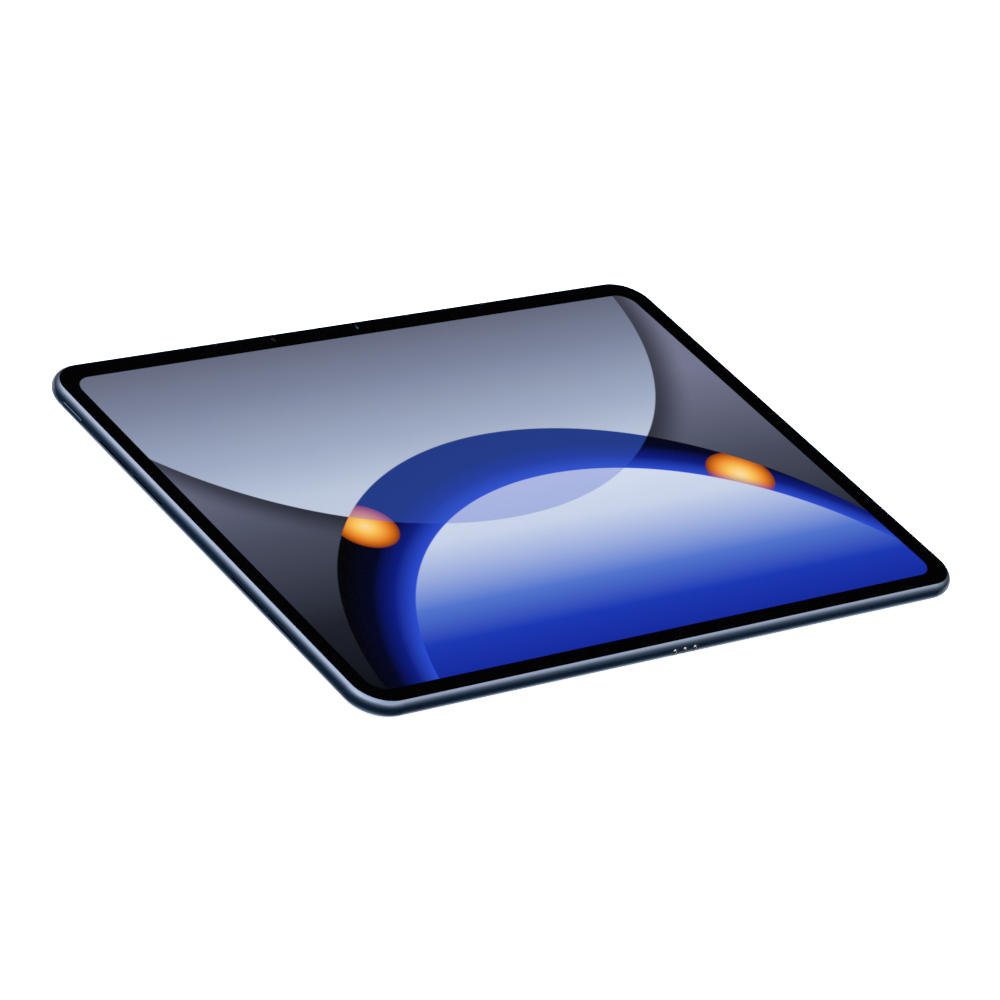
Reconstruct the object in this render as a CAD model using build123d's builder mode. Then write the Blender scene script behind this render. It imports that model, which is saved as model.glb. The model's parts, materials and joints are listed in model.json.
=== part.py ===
"""Slate tablet computer, about 13 inches across the display diagonal.

The frame: +X runs along the long side to the right, +Y across to the side with the front
camera, +Z up out of the display. The origin is the centre of the flat back face, so the
back lies in z = 0 and only the rear camera ring reaches below it. Millimetres throughout.
"""

import os
from math import asin, cos, sin, sqrt

from build123d import *

# ---------------------------------------------------------------- driving dimensions
body_length = 292.3  # across the rounded short sides
body_width = 212.35  # across the rounded long sides
body_thickness = 7.2  # back face to the top of the glass
body_corner = 15.1
side_radius = 3.8  # the sides are one round, tangent to the back and dying out at the glass
rim_inset = 2.05  # widest point of the side to the inner edge of the rim
wall = 3.7  # side wall, widest point to cavity
back_wall = 0.9

glass_length = 288.1
glass_width = 208.15
glass_corner = 13.0
glass_thickness = 0.7
glass_round = 0.3
display_length = 273.7  # lit area
display_width = 193.65
display_corner = 7.3

mask_layer = 0.1  # ink and optical adhesive under the glass
seal_layer = 0.2  # adhesive ring between ledge and ink
panel_thickness = 0.8
backlight_thickness = 0.7
tray_sheet = 0.2

side_opening_height = 3.35  # centre of everything let into the sides
button_width = 1.9
button_proud = 0.25
button_travel = 0.35
button_fit = 0.1
power_button_length = 12.6
power_button_y = 81.7
volume_button_length = 10.4
volume_up_x = -124.0
volume_down_x = -111.0

slot_length = 19.1
slot_width = 1.0
slot_places = (-53.9, -31.8, 31.8, 53.9)

dock_pitch = 4.9
dock_centre_x = 1.25
dock_pin_diameter = 2.4
dock_hole_diameter = 2.9

usb_shell_length = 8.94
usb_shell_width = 3.2
usb_shell_depth = 6.6

front_camera_x = 1.4
light_sensor_x = -39.4
front_sensor_y = 101.85

rear_camera_x = 112.5
rear_camera_y = 78.0
ring_diameter = 30.0
ring_height = 1.6
focus_travel = 0.25

speaker_length = 48.0
speaker_depth = 17.0
speaker_centre = 42.85
diaphragm_length = 20.2
diaphragm_width = 9.2
diaphragm_travel = 0.3

cell_length = 108.0
cell_width = 82.0
cell_thickness = 3.4
cell_x = 78.5
cell_y = 0.0

board_length = 118.0
board_width = 66.0
board_thickness = 0.6
board_y = 38.0
board_floor = 2.4

flex = 0.12

# ---------------------------------------------------------------- derived heights
glass_floor = body_thickness - glass_thickness
mask_floor = glass_floor - mask_layer
ledge_height = mask_floor - seal_layer
panel_floor = mask_floor - panel_thickness
backlight_floor = panel_floor - backlight_thickness
tray_floor = backlight_floor - tray_sheet
board_top = board_floor + board_thickness
cell_floor = back_wall + 0.1
cell_top = cell_floor + cell_thickness
half_length = body_length / 2
half_width = body_width / 2
cavity_x = half_length - wall
cavity_y = half_width - wall


def side_plane(x):
    """Plane across the X axis: its own x and y are the object's Y and Z."""
    return Plane.YZ.offset(x)


def edge_plane(y):
    """Plane across the Y axis: its own x and y are the object's X and Z."""
    return Plane.XZ.offset(-y)


def dome_point(edge_radius, rise):
    """Point half way up a shallow spherical dome: its radius and its height above the edge."""
    sphere = (edge_radius**2 + rise**2) / (2 * rise)
    half_turn = asin(edge_radius / sphere) / 2
    return sphere * sin(half_turn), rise - sphere * (1 - cos(half_turn))


# ---------------------------------------------------------------- housing
rim_rise = sqrt(side_radius**2 - (side_radius - rim_inset) ** 2)
rim_height = side_radius + rim_rise
straight_x = half_length - body_corner
straight_y = half_width - body_corner

with BuildPart() as side_ring:
    with BuildLine() as ring_path:
        right = Line((half_length, -straight_y), (half_length, straight_y))
        turn = JernArc(right @ 1, right % 1, body_corner, 90)
        far = Line(turn @ 1, (-straight_x, half_width))
        turn = JernArc(far @ 1, far % 1, body_corner, 90)
        left = Line(turn @ 1, (-half_length, -straight_y))
        turn = JernArc(left @ 1, left % 1, body_corner, 90)
        near = Line(turn @ 1, (straight_x, -half_width))
        JernArc(near @ 1, near % 1, body_corner, 90)
    with BuildSketch(Plane(origin=right @ 0, x_dir=(1, 0, 0), z_dir=(0, -1, 0))):
        with BuildLine():
            Line((-wall - 1, 0), (-side_radius, 0))
            ThreePointArc((-side_radius, 0), (0, side_radius), (-rim_inset, rim_height))
            Polyline(
                (-rim_inset, rim_height),
                (-rim_inset, ledge_height),
                (-wall, ledge_height),
                (-wall, back_wall),
                (-wall - 1, back_wall),
                (-wall - 1, 0),
            )
        make_face()
    sweep(path=ring_path.wire())

def soften(part, axis, limit):
    """Break the outer edges that the last cut left in the rounded side."""
    cut = part.edges(Select.LAST)
    outer = [edge for edge in cut if abs(edge.center().dot(axis.direction)) > limit]
    chamfer(outer, length=0.12)


antenna_x = (-66.0, 66.0)
antenna_slit = 1.8
screw_places = [(x, board_y + y) for x in (-29.0, 29.0) for y in (-55.0, 0.0, 55.0)]
screw_boss_diameter = 3.6
screw_hole_diameter = 1.4
frame_length = cell_length + 8
frame_width = cell_width + 3
frame_y = cell_y + 2
microphone_x = (-91.0, 30.0)

with BuildPart() as rear_housing:
    add(side_ring.part)
    with BuildSketch():
        inset = wall + 0.5
        RectangleRounded(body_length - 2 * inset, body_width - 2 * inset, body_corner - inset)
    extrude(amount=back_wall)
    with BuildSketch(Plane.XY.offset(back_wall)):
        with Locations((-cell_x, frame_y), (cell_x, frame_y)):
            RectangleRounded(frame_width + 2, frame_length + 2, 2)
            RectangleRounded(frame_width, frame_length, 1, mode=Mode.SUBTRACT)
        with Locations((-68, -72), (68, -72), (-68, -86), (68, -86)):
            Rectangle(112, 1)
    extrude(amount=1.2)
    with BuildSketch(Plane.XY.offset(back_wall)):
        with Locations(*screw_places):
            Circle(screw_boss_diameter / 2)
            Circle(screw_hole_diameter / 2, mode=Mode.SUBTRACT)
    extrude(amount=board_floor - back_wall)
    # speaker slots, right through both short sides
    with BuildSketch(side_plane(-half_length - 1)):
        with Locations(*[(y, side_opening_height) for y in slot_places]):
            SlotOverall(slot_length, slot_width)
    extrude(amount=body_length + 2, mode=Mode.SUBTRACT)
    soften(rear_housing, Axis.X, half_length - 0.5)
    # button slots
    with BuildSketch(side_plane(-half_length - 1)):
        with Locations((power_button_y, side_opening_height)):
            SlotOverall(power_button_length + 2 * button_fit, button_width + 2 * button_fit)
    extrude(amount=wall + 2, mode=Mode.SUBTRACT)
    soften(rear_housing, Axis.X, half_length - 0.5)
    with BuildSketch(edge_plane(half_width + 1)):
        with Locations((volume_up_x, side_opening_height), (volume_down_x, side_opening_height)):
            SlotOverall(volume_button_length + 2 * button_fit, button_width + 2 * button_fit)
    extrude(amount=wall + 2, mode=Mode.SUBTRACT)
    soften(rear_housing, Axis.Y, half_width - 0.5)
    # microphone holes
    with BuildSketch(edge_plane(half_width + 1)):
        with Locations(*[(x, side_opening_height) for x in microphone_x]):
            Circle(0.4)
    extrude(amount=wall + 2, mode=Mode.SUBTRACT)
    # dock contact holes in the near long side
    with BuildSketch(edge_plane(-half_width + wall + 1)):
        with Locations((dock_centre_x, side_opening_height)):
            with GridLocations(dock_pitch, 1, 3, 1):
                Circle(dock_hole_diameter / 2)
    extrude(amount=wall + 2, mode=Mode.SUBTRACT)
    soften(rear_housing, Axis.Y, half_width - 0.5)
    # USB-C opening in the right short side
    with BuildSketch(side_plane(half_length - wall - 1)):
        with Locations((0, side_opening_height)):
            RectangleRounded(usb_shell_length, usb_shell_width, usb_shell_width / 2 - 0.01)
    extrude(amount=wall + 2, mode=Mode.SUBTRACT)
    soften(rear_housing, Axis.X, half_length - 0.5)
    # rear camera opening and a pocket in the ledge for the front camera
    with BuildSketch():
        with Locations((rear_camera_x, rear_camera_y)):
            Circle(ring_diameter / 2)
    extrude(amount=back_wall, mode=Mode.SUBTRACT)
    with BuildSketch(Plane.XY.offset(back_wall)):
        with Locations((front_camera_x, front_sensor_y), (light_sensor_x, front_sensor_y)):
            RectangleRounded(8.4, 4.4, 0.6)
    extrude(amount=body_thickness, mode=Mode.SUBTRACT)
    # slits for the antenna inserts
    with BuildSketch():
        with Locations(*[(x, half_width) for x in antenna_x]):
            Rectangle(antenna_slit, 2 * wall)
    extrude(amount=body_thickness, mode=Mode.SUBTRACT)
rear_housing.part.label = "rear_housing"

with BuildPart() as antenna_inserts:
    add(side_ring.part)
    with BuildSketch():
        with Locations(*[(x, half_width) for x in antenna_x]):
            Rectangle(antenna_slit, 2 * wall)
    extrude(amount=body_thickness, mode=Mode.INTERSECT)
antenna_inserts.part.label = "antenna_inserts"

# ---------------------------------------------------------------- glass and display
with BuildPart() as cover_glass:
    with BuildSketch(Plane.XY.offset(glass_floor)):
        RectangleRounded(glass_length, glass_width, glass_corner)
    extrude(amount=glass_thickness)
    fillet(cover_glass.faces().sort_by(Axis.Z)[-1].edges(), radius=glass_round)
cover_glass.part.label = "cover_glass"

mask_margin = 0.15
camera_window_diameter = 2.8
sensor_window_diameter = 2.2

with BuildPart() as bezel_mask:
    with BuildSketch(Plane.XY.offset(mask_floor)):
        RectangleRounded(
            glass_length - 2 * mask_margin, glass_width - 2 * mask_margin, glass_corner - mask_margin
        )
        RectangleRounded(display_length, display_width, display_corner, mode=Mode.SUBTRACT)
        with Locations((front_camera_x, front_sensor_y)):
            Circle(camera_window_diameter / 2, mode=Mode.SUBTRACT)
        with Locations((light_sensor_x, front_sensor_y)):
            Circle(sensor_window_diameter / 2, mode=Mode.SUBTRACT)
    extrude(amount=mask_layer)
bezel_mask.part.label = "bezel_mask"

with BuildPart() as optical_adhesive:
    with BuildSketch(Plane.XY.offset(mask_floor)):
        RectangleRounded(display_length, display_width, display_corner)
    extrude(amount=mask_layer)
optical_adhesive.part.label = "optical_adhesive"

panel_margin = 1.5

with BuildPart() as display_panel:
    with BuildSketch(Plane.XY.offset(panel_floor)):
        RectangleRounded(
            display_length + 2 * panel_margin,
            display_width + 2 * panel_margin,
            display_corner + panel_margin,
        )
    extrude(amount=panel_thickness)
display_panel.part.label = "display_panel"

backlight_length = display_length + 3.6
backlight_width = display_width + 3.6

with BuildPart() as backlight_unit:
    with BuildSketch(Plane.XY.offset(backlight_floor)):
        RectangleRounded(backlight_length, backlight_width, display_corner + 1.8)
    extrude(amount=backlight_thickness)
backlight_unit.part.label = "backlight_unit"

tray_wall = 0.3
tray_gap = 0.1
tray_depth = 0.8

with BuildPart() as display_tray:
    reach = tray_gap + tray_wall
    with BuildSketch(Plane.XY.offset(tray_floor)):
        RectangleRounded(backlight_length + 2 * reach, backlight_width + 2 * reach, 9.2)
    extrude(amount=tray_depth)
    with BuildSketch(Plane.XY.offset(backlight_floor)):
        RectangleRounded(backlight_length + 2 * tray_gap, backlight_width + 2 * tray_gap, 8.9)
    extrude(amount=tray_depth, mode=Mode.SUBTRACT)
display_tray.part.label = "display_tray"

with BuildPart() as glass_adhesive_ring:
    with BuildSketch(Plane.XY.offset(ledge_height)):
        outer = 0.55
        inner = 0.9
        RectangleRounded(glass_length - 2 * outer, glass_width - 2 * outer, glass_corner - outer)
        RectangleRounded(
            glass_length - 2 * (outer + inner),
            glass_width - 2 * (outer + inner),
            glass_corner - outer - inner,
            mode=Mode.SUBTRACT,
        )
    extrude(amount=seal_layer)
glass_adhesive_ring.part.label = "glass_adhesive_ring"

driver_y = -90.0
graphite_edge = -82.0
graphite_far = 96.0

with BuildPart() as display_driver_board:
    with BuildSketch(Plane.XY.offset(tray_floor - 0.7)):
        with Locations((0, driver_y)):
            RectangleRounded(120, 8, 0.8)
    extrude(amount=0.7)
display_driver_board.part.label = "display_driver_board"

with BuildPart() as graphite_sheet:
    with BuildSketch(Plane.XY.offset(tray_floor - 0.1)):
        with Locations((0, (graphite_edge + graphite_far) / 2)):
            RectangleRounded(268, graphite_far - graphite_edge, 4)
    extrude(amount=0.1)
graphite_sheet.part.label = "graphite_sheet"


# ---------------------------------------------------------------- flat flexes
def ribbon(plane, points, width):
    """Flat flexible cable: a thin line of runs on the plane, as wide as given across it."""
    with BuildPart() as strip:
        with BuildSketch(plane):
            with BuildLine():
                Polyline(*points)
            trace(line_width=flex)
        extrude(amount=width / 2, both=True)
    return strip


connector_top = board_top + 0.8
board_near = board_y - board_length / 2
board_far = board_y + board_length / 2

display_flex = ribbon(
    Plane.YZ,
    [
        (driver_y + 2, tray_floor - 0.7 - flex / 2),
        (driver_y + 8, tray_floor - 0.7 - flex / 2),
        (board_near - 4, tray_floor - 0.7 - flex / 2),
        (board_near + 6, connector_top + flex / 2),
        (board_near + 9, connector_top + flex / 2),
    ],
    24,
)
display_flex.part.label = "display_flex"

usb_board_near = 128.0
usb_board_top = side_opening_height - usb_shell_width / 2 + 0.3
usb_flex = ribbon(
    Plane.XZ,
    [
        (board_width / 2 - 6, connector_top + flex / 2),
        (board_width / 2 - 2, connector_top + flex / 2),
        (board_width / 2 + 3, cell_top + flex),
        (cell_x + cell_width / 2 + 2, cell_top + flex),
        (usb_board_near + 1, usb_board_top + flex / 2),
    ],
    9,
)
usb_flex.part.label = "usb_c_flex"

dock_inner = -cavity_y + 0.6
dock_flex = ribbon(
    Plane.YZ.offset(dock_centre_x),
    [
        (dock_inner + flex / 2, side_opening_height + 1),
        (dock_inner + flex / 2, cell_floor),
        (board_near - 6, cell_floor),
        (board_near - 2, board_floor - flex / 2),
        (board_near + 5, board_floor - flex / 2),
    ],
    11,
)
dock_flex.part.label = "dock_flex"

with BuildPart() as front_sensor_flex:
    with BuildSketch(Plane.XY.offset(board_floor - flex)):
        with Locations(((light_sensor_x + front_camera_x) / 2, front_sensor_y - 1.25)):
            Rectangle(front_camera_x - light_sensor_x + 8, 2.6)
        with Locations((0, (board_far + front_sensor_y) / 2 - 4)):
            Rectangle(6, front_sensor_y - board_far + 6)
    extrude(amount=flex)
front_sensor_flex.part.label = "front_sensor_flex"

# ---------------------------------------------------------------- front camera and light sensor
with BuildPart() as front_camera:
    with BuildSketch(Plane.XY.offset(board_floor)):
        with Locations((front_camera_x, front_sensor_y)):
            RectangleRounded(7.0, 3.8, 0.4)
    extrude(amount=ledge_height - board_floor - 0.3)
    with BuildSketch(Plane.XY.offset(ledge_height - 0.3)):
        with Locations((front_camera_x, front_sensor_y)):
            Circle(1.75)
    extrude(amount=0.3)
    with BuildSketch(Plane.XY.offset(ledge_height)):
        with Locations((front_camera_x, front_sensor_y)):
            Circle(1.2)
    extrude(amount=-0.9, mode=Mode.SUBTRACT)
front_camera.part.label = "front_camera"

lens_edge = 1.2
lens_rise = 0.3
lens_floor_height = ledge_height - 0.9
lens_shoulder = ledge_height - 0.22

with BuildPart() as front_camera_lens:
    with BuildSketch(Plane.XZ):
        with BuildLine():
            dome_x, dome_z = dome_point(lens_edge, lens_rise)
            Polyline((0, lens_floor_height), (lens_edge, lens_floor_height), (lens_edge, lens_shoulder))
            ThreePointArc(
                (lens_edge, lens_shoulder),
                (dome_x, lens_shoulder + dome_z),
                (0, lens_shoulder + lens_rise),
            )
            Line((0, lens_shoulder + lens_rise), (0, lens_floor_height))
        make_face()
    revolve(axis=Axis.Z)
front_camera_lens.part = Pos(front_camera_x, front_sensor_y, 0) * front_camera_lens.part
front_camera_lens.part.label = "front_camera_lens"

with BuildPart() as light_sensor:
    with BuildSketch(Plane.XY.offset(board_floor)):
        with Locations((light_sensor_x, front_sensor_y)):
            RectangleRounded(5.0, 3.4, 0.4)
    extrude(amount=ledge_height - board_floor - 0.8)
    with BuildSketch(Plane.XY.offset(ledge_height - 0.8)):
        with Locations((light_sensor_x, front_sensor_y)):
            RectangleRounded(2.6, 2.2, 0.2)
    extrude(amount=0.7)
light_sensor.part.label = "light_sensor"

# ---------------------------------------------------------------- buttons and their switches
flange = 0.5
flange_gap = 0.05
switch_gap = 0.1


def button(plane, place, length):
    """Stadium cap rounded like the side, flange behind the wall; the plane is the flange's back."""
    side_middle = flange + flange_gap + wall - side_radius
    face_radius = side_radius + button_proud
    with BuildPart() as cap:
        with BuildSketch(plane):
            with Locations((place, side_opening_height)):
                SlotOverall(length + 1.6, button_width + 0.9)
        extrude(amount=flange)
        with BuildSketch(plane):
            with Locations((place, side_opening_height)):
                SlotOverall(length, button_width)
        extrude(amount=side_middle + face_radius)
        with Locations(plane.location * Pos(place, side_radius, side_middle)):
            Cylinder(face_radius, 2 * length, rotation=(0, 90, 0), mode=Mode.INTERSECT)
        fillet(cap.faces().sort_by(Axis(plane.origin, plane.z_dir))[-1].edges(), radius=0.15)
    return cap


flange_back = wall + flange_gap + flange
left_wall = Plane(origin=(-half_length + flange_back, 0, 0), x_dir=(0, -1, 0), z_dir=(-1, 0, 0))
far_wall = Plane(origin=(0, half_width - flange_back, 0), x_dir=(-1, 0, 0), z_dir=(0, 1, 0))

power_button = button(left_wall, -power_button_y, power_button_length)
power_button.part.label = "power_button"
volume_up_button = button(far_wall, -volume_up_x, volume_button_length)
volume_up_button.part.label = "volume_up_button"
volume_down_button = button(far_wall, -volume_down_x, volume_button_length)
volume_down_button.part.label = "volume_down_button"

switch_depth = 1.0
switch_face = flange_back + button_travel + switch_gap
bracket_sheet = 0.4
bracket_back = switch_face + switch_depth + bracket_sheet

with BuildPart() as power_switch:
    with BuildSketch(side_plane(-half_length + switch_face + 0.3)):
        with Locations((power_button_y, side_opening_height)):
            RectangleRounded(4.2, 2.6, 0.3)
    extrude(amount=switch_depth - 0.3)
    with BuildSketch(side_plane(-half_length + switch_face)):
        with Locations((power_button_y, side_opening_height)):
            Circle(0.8)
    extrude(amount=0.3)
power_switch.part.label = "power_switch"

with BuildPart() as volume_switches:
    with BuildSketch(edge_plane(half_width - switch_face - 0.3)):
        with Locations((volume_up_x, side_opening_height), (volume_down_x, side_opening_height)):
            RectangleRounded(4.2, 2.6, 0.3)
    extrude(amount=switch_depth - 0.3)
    with BuildSketch(edge_plane(half_width - switch_face)):
        with Locations((volume_up_x, side_opening_height), (volume_down_x, side_opening_height)):
            Circle(0.8)
    extrude(amount=0.3)
volume_switches.part.label = "volume_switches"

volume_middle = (volume_up_x + volume_down_x) / 2
bracket_foot = 0.3
bracket_height = 3.8

with BuildPart() as switch_brackets:
    with BuildSketch(Plane.XY.offset(back_wall)):
        with Locations((-half_length + bracket_back - bracket_sheet / 2, power_button_y)):
            Rectangle(bracket_sheet, 14)
        with Locations((volume_middle, half_width - bracket_back + bracket_sheet / 2)):
            Rectangle(26, bracket_sheet)
    extrude(amount=bracket_height)
    with BuildSketch(Plane.XY.offset(back_wall)):
        with Locations((-half_length + bracket_back + 2, power_button_y)):
            Rectangle(4, 14)
        with Locations((volume_middle, half_width - bracket_back - 2)):
            Rectangle(26, 4)
    extrude(amount=bracket_foot)
switch_brackets.part.label = "switch_brackets"

# ---------------------------------------------------------------- speakers
mesh_sheet = 0.2
speaker_floor = back_wall
speaker_roof = 4.55
pocket_gap = 0.4
diaphragm_floor = 3.2
diaphragm_sheet = 0.35
coil_former = 0.8
pocket_floor = diaphragm_floor - coil_former - diaphragm_travel - 0.4


def speaker_module(side, end):
    """Closed box behind two slots, with a racetrack pocket for the diaphragm."""
    middle_x = side * (cavity_x - mesh_sheet - speaker_depth / 2)
    middle_y = end * speaker_centre
    with BuildPart() as module:
        with BuildSketch(Plane.XY.offset(speaker_floor)):
            with Locations((middle_x, middle_y)):
                RectangleRounded(speaker_depth, speaker_length, 1.5)
        extrude(amount=speaker_roof - speaker_floor)
        with BuildSketch(Plane.XY.offset(pocket_floor)):
            with Locations((middle_x, middle_y)):
                SlotOverall(
                    diaphragm_length + 2 * pocket_gap, diaphragm_width + 2 * pocket_gap, rotation=90
                )
        extrude(amount=speaker_roof - pocket_floor, mode=Mode.SUBTRACT)
        with BuildSketch(side_plane(middle_x)):
            with Locations((middle_y - 5, side_opening_height), (middle_y + 5, side_opening_height)):
                Rectangle(6, slot_width)
        extrude(amount=side * (speaker_depth / 2 - 1.6), mode=Mode.SUBTRACT)
        with BuildSketch(side_plane(middle_x + side * (speaker_depth / 2 - 1.6))):
            with Locations((middle_y, side_opening_height)):
                Rectangle(41, slot_width)
        extrude(amount=side * 1.6, mode=Mode.SUBTRACT)
    return module


def speaker_diaphragm(side, end):
    """Racetrack plate with the voice-coil former under it."""
    middle_x = side * (cavity_x - mesh_sheet - speaker_depth / 2)
    middle_y = end * speaker_centre
    with BuildPart() as diaphragm:
        with BuildSketch(Plane.XY.offset(diaphragm_floor)):
            with Locations((middle_x, middle_y)):
                SlotOverall(diaphragm_length, diaphragm_width, rotation=90)
        extrude(amount=diaphragm_sheet)
        with BuildSketch(Plane.XY.offset(diaphragm_floor - coil_former)):
            with Locations((middle_x, middle_y)):
                SlotOverall(14.0, 4.6, rotation=90)
                SlotOverall(13.4, 4.0, rotation=90, mode=Mode.SUBTRACT)
        extrude(amount=coil_former)
        fillet(diaphragm.faces().sort_by(Axis.Z)[-1].edges(), radius=0.12)
    return diaphragm


speaker_names = {
    (-1, 1): "left_far",
    (-1, -1): "left_near",
    (1, 1): "right_far",
    (1, -1): "right_near",
}
speakers = []
for (side, end), corner in speaker_names.items():
    module = speaker_module(side, end)
    module.part.label = f"speaker_module_{corner}"
    diaphragm = speaker_diaphragm(side, end)
    diaphragm.part.label = f"speaker_diaphragm_{corner}"
    speakers += [module, diaphragm]

with BuildPart() as speaker_meshes:
    for start in (-cavity_x, cavity_x - mesh_sheet):
        with BuildSketch(side_plane(start)):
            with Locations(*[(y, side_opening_height) for y in slot_places]):
                SlotOverall(slot_length + 1, slot_width + 1)
        extrude(amount=mesh_sheet)
speaker_meshes.part.label = "speaker_meshes"


# ---------------------------------------------------------------- battery
def battery_cell(side):
    """Soft pouch cell with rounded edges, lying in its frame on the back wall."""
    with BuildPart() as cell:
        with BuildSketch(Plane.XY.offset(cell_floor)):
            with Locations((side * cell_x, cell_y)):
                RectangleRounded(cell_width, cell_length, 1.5)
        extrude(amount=cell_thickness)
        fillet(cell.faces().sort_by(Axis.Z)[-1].edges(), radius=0.8)
    return cell


battery_cell_left = battery_cell(-1)
battery_cell_left.part.label = "battery_cell_left"
battery_cell_right = battery_cell(1)
battery_cell_right.part.label = "battery_cell_right"

with BuildPart() as battery_boards:
    with BuildSketch(Plane.XY.offset(back_wall)):
        with Locations((-cell_x, cell_y + cell_length / 2 + 3), (cell_x, cell_y + cell_length / 2 + 3)):
            Rectangle(60, 3.6)
    extrude(amount=1.6)
battery_boards.part.label = "battery_boards"

with BuildPart() as battery_adhesive_strips:
    with BuildSketch(Plane.XY.offset(back_wall)):
        for side in (-1, 1):
            with Locations((side * cell_x, cell_y)):
                with GridLocations(24, 1, 3, 1):
                    RectangleRounded(10, cell_length - 6, 1)
    extrude(amount=cell_floor - back_wall)
battery_adhesive_strips.part.label = "battery_adhesive_strips"

# ---------------------------------------------------------------- mainboard
with BuildPart() as mainboard:
    with BuildSketch(Plane.XY.offset(board_floor)):
        with Locations((0, board_y)):
            RectangleRounded(board_width, board_length, 2)
        with Locations(*screw_places):
            Circle(0.8, mode=Mode.SUBTRACT)
    extrude(amount=board_thickness)
mainboard.part.label = "mainboard"

screw_head = 0.45
with BuildPart() as board_screws:
    with BuildSketch(Plane.XY.offset(back_wall)):
        with Locations(*screw_places):
            Circle(screw_hole_diameter / 2)
    extrude(amount=board_top - back_wall)
    with BuildSketch(Plane.XY.offset(board_top)):
        with Locations(*screw_places):
            Circle(1.4)
    extrude(amount=screw_head)
    chamfer(board_screws.faces().group_by(Axis.Z)[-1].edges(), length=0.12)
    with BuildSketch(Plane.XY.offset(board_top + screw_head)):
        with Locations(*screw_places):
            RegularPolygon(0.5, 6)
    extrude(amount=-0.3, mode=Mode.SUBTRACT)
board_screws.part.label = "board_screws"

can_sheet = 0.15
can_height = 1.25
cans = {(0, 52): (46, 34), (-9, 14): (30, 24), (0, 82): (46, 16)}

with BuildPart() as shield_cans:
    with BuildSketch(Plane.XY.offset(board_top)):
        for place, (width, length) in cans.items():
            with Locations(place):
                RectangleRounded(width, length, 1)
    extrude(amount=can_height)
    with BuildSketch(Plane.XY.offset(board_top)):
        for place, (width, length) in cans.items():
            with Locations(place):
                RectangleRounded(width - 2 * can_sheet, length - 2 * can_sheet, 0.85)
    extrude(amount=can_height - can_sheet, mode=Mode.SUBTRACT)
shield_cans.part.label = "shield_cans"


def chip(place, width, length, height):
    """Square package on the board with a slightly smaller top."""
    with BuildPart() as package:
        with BuildSketch(Plane.XY.offset(board_top)):
            with Locations(place):
                Rectangle(width, length)
        extrude(amount=height)
        chamfer(package.faces().sort_by(Axis.Z)[-1].edges(), length=0.1)
    return package


processor = chip((-9, 52), 15, 15, 0.95)
processor.part.label = "processor"
storage_chip = chip((11, 52), 13, 11.5, 0.9)
storage_chip.part.label = "storage_chip"
power_chip = chip((-9, 14), 9, 9, 0.8)
power_chip.part.label = "power_chip"
wireless_module = chip((0, 82), 16, 12, 0.9)
wireless_module.part.label = "wireless_module"

with BuildPart() as board_connectors:
    with BuildSketch(Plane.XY.offset(board_top)):
        with Locations((0, board_near + 7.5)):
            Rectangle(22, 3)
        with Locations((board_width / 2 - 5, 0)):
            Rectangle(2.8, 9)
        with Locations((-board_width / 2 + 5, 0)):
            Rectangle(2.8, 9)
    extrude(amount=connector_top - board_top)
board_connectors.part.label = "board_connectors"

# ---------------------------------------------------------------- USB-C socket
usb_outer_face = half_length - 0.45
usb_sheet = 0.3

with BuildPart() as usb_c_shell:
    with BuildSketch(side_plane(usb_outer_face - usb_shell_depth)):
        with Locations((0, side_opening_height)):
            RectangleRounded(usb_shell_length, usb_shell_width, usb_shell_width / 2 - 0.01)
    extrude(amount=usb_shell_depth)
    with BuildSketch(side_plane(usb_outer_face)):
        with Locations((0, side_opening_height)):
            RectangleRounded(
                usb_shell_length - 2 * usb_sheet,
                usb_shell_width - 2 * usb_sheet,
                usb_shell_width / 2 - usb_sheet - 0.01,
            )
    extrude(amount=-usb_shell_depth + 0.6, mode=Mode.SUBTRACT)
usb_c_shell.part.label = "usb_c_shell"

with BuildPart() as usb_c_tongue:
    with BuildSketch(side_plane(usb_outer_face - usb_shell_depth + 0.6)):
        with Locations((0, side_opening_height)):
            Rectangle(6.6, 0.7)
    extrude(amount=5.2)
    chamfer(usb_c_tongue.faces().sort_by(Axis.X)[-1].edges(), length=0.15)
usb_c_tongue.part.label = "usb_c_tongue"

with BuildPart() as usb_c_board:
    with BuildSketch(Plane.XY.offset(back_wall)):
        with Locations(((usb_board_near + usb_outer_face - usb_shell_depth) / 2, 0)):
            Rectangle(usb_outer_face - usb_shell_depth - usb_board_near, 14)
    extrude(amount=usb_board_top - back_wall)
usb_c_board.part.label = "usb_c_board"

# ---------------------------------------------------------------- dock contacts and magnets
dock_x = [dock_centre_x + step * dock_pitch for step in (-1, 0, 1)]
dock_dome = 0.6
dock_proud = 0.12


def dock_pin(x):
    """Turned pin lying along Y: domed face outside, collar inside the wall."""
    with BuildPart() as pin:
        with BuildSketch(Plane.XY.offset(side_opening_height)):
            with BuildLine():
                radius = dock_pin_diameter / 2
                dome_x, dome_y = dome_point(radius, dock_dome)
                shoulder = -half_width + dock_dome - dock_proud
                Line((x, dock_inner), (x + radius, dock_inner))
                Line((x + radius, dock_inner), (x + radius, shoulder))
                ThreePointArc(
                    (x + radius, shoulder),
                    (x + dome_x, shoulder - dome_y),
                    (x, shoulder - dock_dome),
                )
                Line((x, shoulder - dock_dome), (x, dock_inner))
            make_face()
        revolve(axis=Axis((x, 0, side_opening_height), (0, 1, 0)))
    return pin


with BuildPart() as dock_contacts:
    for x in dock_x:
        add(dock_pin(x).part)
dock_contacts.part.label = "dock_contacts"

with BuildPart() as dock_insulators:
    with BuildSketch(edge_plane(dock_inner)):
        with Locations(*[(x, side_opening_height) for x in dock_x]):
            Circle(dock_hole_diameter / 2)
            Circle(dock_pin_diameter / 2, mode=Mode.SUBTRACT)
    extrude(amount=dock_inner + half_width - 0.35)
dock_insulators.part.label = "dock_insulators"

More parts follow.
